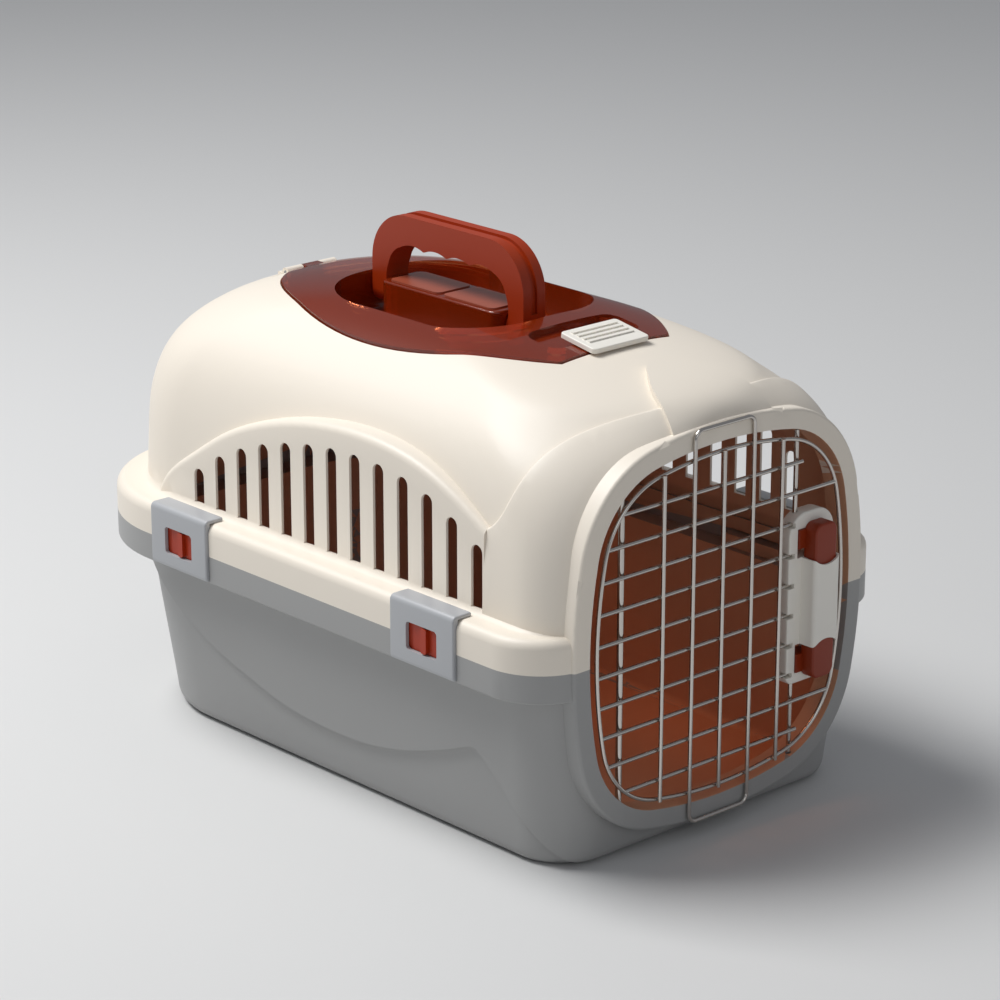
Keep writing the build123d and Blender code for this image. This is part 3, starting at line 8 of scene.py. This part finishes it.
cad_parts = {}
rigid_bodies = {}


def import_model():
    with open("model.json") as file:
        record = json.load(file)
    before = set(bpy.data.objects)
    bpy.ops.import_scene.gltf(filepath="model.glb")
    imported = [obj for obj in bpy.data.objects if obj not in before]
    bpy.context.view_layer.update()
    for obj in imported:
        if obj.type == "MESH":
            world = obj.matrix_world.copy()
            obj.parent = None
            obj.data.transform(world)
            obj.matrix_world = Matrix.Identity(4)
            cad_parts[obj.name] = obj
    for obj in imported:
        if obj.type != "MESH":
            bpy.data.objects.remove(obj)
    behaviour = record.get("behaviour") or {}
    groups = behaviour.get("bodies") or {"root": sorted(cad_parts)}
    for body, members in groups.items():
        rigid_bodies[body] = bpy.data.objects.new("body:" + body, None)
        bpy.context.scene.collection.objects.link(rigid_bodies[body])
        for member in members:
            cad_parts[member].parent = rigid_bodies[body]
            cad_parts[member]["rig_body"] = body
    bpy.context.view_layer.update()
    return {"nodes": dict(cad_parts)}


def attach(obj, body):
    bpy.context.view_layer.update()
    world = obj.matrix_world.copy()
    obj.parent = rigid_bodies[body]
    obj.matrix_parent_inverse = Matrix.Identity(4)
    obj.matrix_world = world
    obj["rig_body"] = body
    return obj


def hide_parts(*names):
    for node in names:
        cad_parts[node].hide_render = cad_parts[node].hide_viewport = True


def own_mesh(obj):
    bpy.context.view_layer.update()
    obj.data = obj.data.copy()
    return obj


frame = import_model()

# ---------------------------------------------------------------------------
# Lower tub. One deep injection moulding in grey polypropylene, with a skirt
# band under the parting line and a shallow panel sunk into each side.
# ---------------------------------------------------------------------------
TUB_GREY = "#9E9E9D"
TUB_ROUGHNESS = 0.42
CABIN_LIT_BROWN = "#D8A888"      # warm inner faces, tinted by the light through the lid
CABIN_ROUGHNESS = 0.5
PLASTIC_IOR = 1.49
MOULD_GRAIN_MM = 1.1         # spark texture of the mould, drawn as coarse as it needs to show
MOULD_GRAIN_STRENGTH = 0.04
GRAIN_HEIGHT = 0.0002        # metres
GRAIN_DETAIL = 2.0
MM_IN_METRE = 1000
SEAM_ANGLE = math.radians(32)    # edges sharper than this stay crisp
WELD_GAP = 2e-6              # metres, joins the corners of neighbouring triangles


def linear(hex_code):
    """sRGB hex to a linear RGBA colour."""
    values = [int(hex_code[i:i + 2], 16) / 255 for i in (1, 3, 5)]
    return [v / 12.92 if v <= 0.04045 else ((v + 0.055) / 1.055) ** 2.4 for v in values] + [1.0]


def add_node(tree, kind, settings=None, links=None):
    """A shader node with its input values and the outputs that feed it."""
    node = tree.nodes.new(kind)
    for name, value in (settings or {}).items():
        node.inputs[name].default_value = value
    for place, output in (links or {}).items():
        tree.links.new(output, node.inputs[place])
    return node


def empty_material(name):
    """A new material and its node tree, with nothing in it yet."""
    material = bpy.data.materials.new(name)
    material.use_nodes = True
    material.node_tree.nodes.clear()
    return material, material.node_tree


def moulded_plastic(name, colour, roughness,
                    grain_mm=MOULD_GRAIN_MM, grain_strength=MOULD_GRAIN_STRENGTH):
    """Injection-moulded plastic: an even colour, a soft sheen and a very fine spark texture."""
    material, tree = empty_material(name)
    place = add_node(tree, "ShaderNodeTexCoord")
    noise = add_node(tree, "ShaderNodeTexNoise",
                     {"Scale": MM_IN_METRE / grain_mm, "Detail": GRAIN_DETAIL},
                     {"Vector": place.outputs["Object"]})
    bump = add_node(tree, "ShaderNodeBump",
                    {"Strength": grain_strength, "Distance": GRAIN_HEIGHT},
                    {"Height": noise.outputs["Fac"]})
    shader = add_node(tree, "ShaderNodeBsdfPrincipled",
                      {"Base Color": linear(colour), "Roughness": roughness, "IOR": PLASTIC_IOR},
                      {"Normal": bump.outputs["Normal"]})
    add_node(tree, "ShaderNodeOutputMaterial", links={"Surface": shader.outputs["BSDF"]})
    return material


def scene_object(name, shape, *materials):
    """The finished shape as an object in the scene."""
    mesh = bpy.data.meshes.new(name)
    shape.to_mesh(mesh)
    shape.free()
    for material in materials:
        mesh.materials.append(material)
    made = bpy.data.objects.new(name, mesh)
    bpy.context.scene.collection.objects.link(made)
    return made


def dress(node, slot, *materials):
    """Merged, smooth-shaded copy of a CAD piece, riding where the piece rides."""
    source = frame["nodes"][node]
    shape = bmesh.new()
    shape.from_mesh(source.data)
    bmesh.ops.remove_doubles(shape, verts=shape.verts, dist=WELD_GAP)
    for face in shape.faces:
        face.smooth = True
    for edge in shape.edges:
        edge.smooth = edge.is_manifold and edge.calc_face_angle(0) < SEAM_ANGLE
    piece = scene_object(node + "_looks", shape, *materials)
    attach(piece, source["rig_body"])
    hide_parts(node)
    return piece


# Polypropylene is a little waxy, so its highlights are broad and dull.
tub_plastic = moulded_plastic("moulded polypropylene, grey", TUB_GREY, TUB_ROUGHNESS)
# The cabin side is the same plastic; its warm brown is painted light, the amber tint of the light
# through the lid.
cabin_painted_light = moulded_plastic("moulded polypropylene, cabin side", CABIN_LIT_BROWN, CABIN_ROUGHNESS)
tub = dress("lower_tub", "tub_grey", tub_plastic, cabin_painted_light)

# ---------------------------------------------------------------------------
# Upper shell. A domed moulding in cream polypropylene with upright slotted
# panels, a collar round the doorway and a soft pad on its front edge.
# ---------------------------------------------------------------------------
SHELL_CREAM = "#EDE4D6"
SHELL_ROUGHNESS = 0.46
CABIN_REACH = 0.07           # metres; across the cabin, the next wall is farther off than this
LOOK_TILT = 0.35             # slope of the four looks round the straight one
LOOKS_NEEDED = 3             # of the five
LOOK_START = 0.0004          # metres off the face, clear of its own triangle


def paint_cabin(piece, walls):
    """Gives the faces that look into the cabin the second material: painted light, the warm tint of
    the light through the lid.
    """
    for face in piece.data.polygons:
        side = face.normal.orthogonal().normalized()
        other = face.normal.cross(side)
        start = face.center + face.normal * LOOK_START
        seen = 0
        leans = [across * LOOK_TILT for across in (side, -side, other, -other)]
        for lean in [Vector()] + leans:
            hit, _, _, distance = walls.ray_cast(start, (face.normal + lean).normalized())
            if hit is not None and distance > CABIN_REACH:
                seen += 1
        if seen >= LOOKS_NEEDED:
            face.material_index = 1


shell_plastic = moulded_plastic("moulded polypropylene, cream", SHELL_CREAM, SHELL_ROUGHNESS)
shell = dress("upper_shell", "shell_cream", shell_plastic, cabin_painted_light)

# The faces that look into the cabin take the painted light of the lid.
both_shells = bmesh.new()
for moulding in (tub, shell):
    both_shells.from_mesh(moulding.data)
cabin_walls = BVHTree.FromBMesh(both_shells)
both_shells.free()
for moulding in (tub, shell):
    paint_cabin(moulding, cabin_walls)

# ---------------------------------------------------------------------------
# Side clips. Light grey ABS hooks, hinged on steel pins in the tub's skirt,
# that snap over the shell's flange and are locked by a small orange slide.
# ---------------------------------------------------------------------------
CLIP_GREY = "#AEB0B3"
CLIP_ROUGHNESS = 0.4
SLIDE_ORANGE = "#A82C00"
ABS_ROUGHNESS = 0.42         # the orange, rust and brown pieces share one mould finish
PIN_STEEL = "#A6A6A8"
PIN_ROUGHNESS = 0.3


def even_finish(name, colour, roughness, metallic):
    """One colour and one gloss all over, with no texture: drawn metal or flat paint."""
    material = bpy.data.materials.new(name)
    material.use_nodes = True
    values = material.node_tree.nodes["Principled BSDF"].inputs
    values["Base Color"].default_value = linear(colour)
    values["Roughness"].default_value = roughness
    values["Metallic"].default_value = metallic
    return material


# Satin ABS: even and fairly soft, without sharp reflections.
clip_plastic = moulded_plastic("moulded ABS, light grey", CLIP_GREY, CLIP_ROUGHNESS)
slide_plastic = moulded_plastic("moulded ABS, orange", SLIDE_ORANGE, ABS_ROUGHNESS)
# Bare drawn steel: a dull grey shine.
pin_steel = even_finish("drawn steel wire", PIN_STEEL, PIN_ROUGHNESS, metallic=1.0)
for end in ("rear", "front"):
    for side in ("left", "right"):
        dress(f"clip_{end}_{side}", "clip_grey", clip_plastic)
        dress(f"clip_button_{end}_{side}", "button_orange", slide_plastic)
        dress(f"clip_pin_{end}_{side}", "steel", pin_steel)

# ---------------------------------------------------------------------------
# Skylight lid. A glossy tinted polycarbonate cover with an oval bowl for the
# handle and a plinth with two textured plates, hinged at the rear on a pin.
# ---------------------------------------------------------------------------
LID_AMBER = "#D04408"
LID_TINT = "#F6BC98"         # what is left of white light after one wall
LID_CLEAR = 0.7              # share of the light that goes straight through
LID_IOR = 1.58
LID_BODY_ROUGHNESS = 0.3     # the colour inside the wall
LID_GLOSS_ROUGHNESS = 0.04   # the polished skin
PLATE_ROSE = "#9C4E38"
PLATE_ROUGHNESS = 0.3
PLATE_GRAIN_MM = 2.0
PLATE_GRAIN_STRENGTH = 0.3


def tinted_polycarbonate(name, colour, tint, clear):
    """Clear tinted plastic: a hard gloss over a wall that lets part of the light through."""
    material, tree = empty_material(name)
    body = add_node(tree, "ShaderNodeBsdfPrincipled",
                    {"Base Color": linear(colour), "Roughness": LID_BODY_ROUGHNESS, "IOR": LID_IOR})
    through = add_node(tree, "ShaderNodeBsdfTransparent", {"Color": linear(tint)})
    wall = add_node(tree, "ShaderNodeMixShader", {"Fac": clear},
                    {1: body.outputs["BSDF"], 2: through.outputs["BSDF"]})
    gloss = add_node(tree, "ShaderNodeBsdfAnisotropic", {"Roughness": LID_GLOSS_ROUGHNESS})
    mirror = add_node(tree, "ShaderNodeFresnel", {"IOR": LID_IOR})
    surface = add_node(tree, "ShaderNodeMixShader",
                       links={"Fac": mirror.outputs["Fac"], 1: wall.outputs["Shader"],
                              2: gloss.outputs["BSDF"]})
    add_node(tree, "ShaderNodeOutputMaterial", links={"Surface": surface.outputs["Shader"]})
    return material


lid_plastic = tinted_polycarbonate("tinted polycarbonate, amber", LID_AMBER, LID_TINT, LID_CLEAR)
# The plates have a coarse texture, so their highlights break up.
plate_plastic = moulded_plastic("textured ABS, rose", PLATE_ROSE, PLATE_ROUGHNESS,
                                PLATE_GRAIN_MM, PLATE_GRAIN_STRENGTH)
dress("skylight_lid", "amber_plastic", lid_plastic)
dress("lid_hinge_pin", "steel", pin_steel)
for end in ("rear", "front"):
    dress(f"plinth_plate_{end}", "plate_rose", plate_plastic)

# ---------------------------------------------------------------------------
# Lid latch. A cream ABS thumb slide with cross ribs, which runs on the lid's
# front slope and locks its front edge to the shell.
# ---------------------------------------------------------------------------
LATCH_CREAM = "#F1EDE4"
LATCH_ROUGHNESS = 0.38

# Cream ABS, a touch whiter and glossier than the shell round it.
latch_plastic = moulded_plastic("moulded ABS, cream", LATCH_CREAM, LATCH_ROUGHNESS)
dress("lid_latch", "latch_cream", latch_plastic)

# ---------------------------------------------------------------------------
# Carry handle. A rust-coloured ABS bow with finger hollows, turning on two
# steel pins in the ends of the plinth and folding down into the bowl.
# ---------------------------------------------------------------------------
HANDLE_RUST = "#A03000"

handle_plastic = moulded_plastic("moulded ABS, rust", HANDLE_RUST, ABS_ROUGHNESS)
dress("carry_handle", "handle_rust", handle_plastic)
for end in ("rear", "front"):
    dress(f"handle_pin_{end}", "steel", pin_steel)

# ---------------------------------------------------------------------------
# Wire door. Welded bright-plated wire: a bowed rim, cross wires behind,
# upright wires in front, a long stop loop and a thicker hinge rod.
# ---------------------------------------------------------------------------
WIRE_CHROME = "#CFCAC4"
WIRE_ROUGHNESS = 0.16

# Chrome over drawn wire: bright, with the faint haze of the wire's drawing marks.
wire_chrome = even_finish("chromed wire", WIRE_CHROME, WIRE_ROUGHNESS, metallic=1.0)
for wires in ("rim_wire", "cross_wires", "upright_wires", "stop_loop", "hinge_rod"):
    dress(f"door_{wires}", "wire_chrome", wire_chrome)

# ---------------------------------------------------------------------------
# Door latch. A cream ABS base over the wire ends, a cover, and two brown finger
# pieces that draw a rod each when squeezed together against a steel spring.
# ---------------------------------------------------------------------------
FINGER_BROWN = "#8A2A00"


def spring_half(whole, side, joint):
    """Upper (side 1) or lower (side -1) half of the spring, riding with the whole spring and named
    after its finger piece's joint.
    """
    heights = [vertex.co.z for vertex in whole.data.vertices]
    middle = (min(heights) + max(heights)) / 2
    shape = bmesh.new()
    shape.from_mesh(whole.data)
    cut = bmesh.ops.bisect_plane(shape, geom=shape.verts[:] + shape.edges[:] + shape.faces[:],
                                 plane_co=(0, 0, middle), plane_no=(0, 0, side), clear_inner=True)
    rim = [part for part in cut["geom_cut"] if isinstance(part, bmesh.types.BMEdge)]
    bmesh.ops.holes_fill(shape, edges=rim)
    bmesh.ops.recalc_face_normals(shape, faces=shape.faces)
    half = scene_object(whole.name + joint, shape, pin_steel)
    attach(half, whole["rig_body"])
    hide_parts("latch_spring")
    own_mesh(half)


finger_plastic = moulded_plastic("moulded ABS, brown", FINGER_BROWN, ABS_ROUGHNESS)
dress("latch_base", "latch_cream", latch_plastic)
dress("latch_cover", "latch_cream", latch_plastic)
for place in ("upper", "lower"):
    dress(f"latch_button_{place}", "button_brown", finger_plastic)
    dress(f"latch_rod_{place}", "wire_chrome", wire_chrome)
spring = dress("latch_spring", "steel", pin_steel)
spring_half(spring, 1, "door_latch_upper_slide")
spring_half(spring, -1, "door_latch_lower_slide")
bpy.data.objects.remove(spring)

# ---------------------------------------------------------------------------
# Studio. A pale floor, a soft key lamp high above the rear on the right side,
# a weak fill in front of the door, and the camera. Places are in metres.
# ---------------------------------------------------------------------------
FLOOR_PALE = "#D9D9D8"
FLOOR_ROUGHNESS = 0.7
FLOOR_HALF = 6.0
FLOOR_DROP = 0.0002          # the floor lies just under the tub's foot
LAMP_AIM = Vector((0, 0, 0.15))
KEY_PLACE = Vector((-1.05, -0.8, 2.4))
KEY_SIZE = (1.5, 1.1)
KEY_WATTS = 70
FILL_PLACE = Vector((2.4, -0.6, 1.2))
FILL_SIZE = (1.8, 1.2)
FILL_WATTS = 4
SKY_COOL = (0.9, 0.93, 1.0, 1.0)     # linear light from all round, slightly blue
SKY_STRENGTH = 0.25
CAMERA_PLACE = Vector((1.6147, -1.4437, 0.8759))
CAMERA_TURN = math.radians(47.56)    # from square on to the right side, round towards the door
CAMERA_RISE = math.radians(18.38)
CAMERA_LENS_MM = 125.15
CAMERA_SENSOR_MM = 36
CAMERA_FAR = 50


def soft_lamp(name, place, size, watts):
    """An oblong lamp that points at the carrier."""
    lamp = bpy.data.lights.new(name, "AREA")
    lamp.shape = "RECTANGLE"
    lamp.size, lamp.size_y = size
    lamp.energy = watts
    holder = bpy.data.objects.new(name, lamp)
    bpy.context.scene.collection.objects.link(holder)
    holder.location = place
    holder.rotation_euler = (LAMP_AIM - place).to_track_quat("-Z", "Y").to_euler()


# Flat paint: no highlight to compete with the carrier.
floor_paint = even_finish("painted board", FLOOR_PALE, FLOOR_ROUGHNESS, metallic=0.0)
board = bmesh.new()
bmesh.ops.create_grid(board, x_segments=1, y_segments=1, size=FLOOR_HALF)
floor = scene_object("floor", board, floor_paint)
floor.location = (0, 0, -FLOOR_DROP)

soft_lamp("key", KEY_PLACE, KEY_SIZE, KEY_WATTS)
soft_lamp("fill", FILL_PLACE, FILL_SIZE, FILL_WATTS)

world = bpy.data.worlds.new("studio")
bpy.context.scene.world = world
world.use_nodes = True
sky = world.node_tree.nodes["Background"].inputs
sky["Color"].default_value = SKY_COOL
sky["Strength"].default_value = SKY_STRENGTH

back = Vector((math.sin(CAMERA_TURN) * math.cos(CAMERA_RISE),
               -math.cos(CAMERA_TURN) * math.cos(CAMERA_RISE),
               math.sin(CAMERA_RISE)))
right = Vector((math.cos(CAMERA_TURN), math.sin(CAMERA_TURN), 0))
up = back.cross(right)
axes = Matrix((right, up, back)).transposed().to_4x4()
camera = bpy.data.objects.new("camera", bpy.data.cameras.new("camera"))
bpy.context.scene.collection.objects.link(camera)
camera.matrix_world = Matrix.Translation(CAMERA_PLACE) @ axes
camera.data.sensor_width = CAMERA_SENSOR_MM
camera.data.lens = CAMERA_LENS_MM
camera.data.clip_end = CAMERA_FAR
bpy.context.scene.camera = camera
bpy.context.scene.view_settings.view_transform = "Standard"
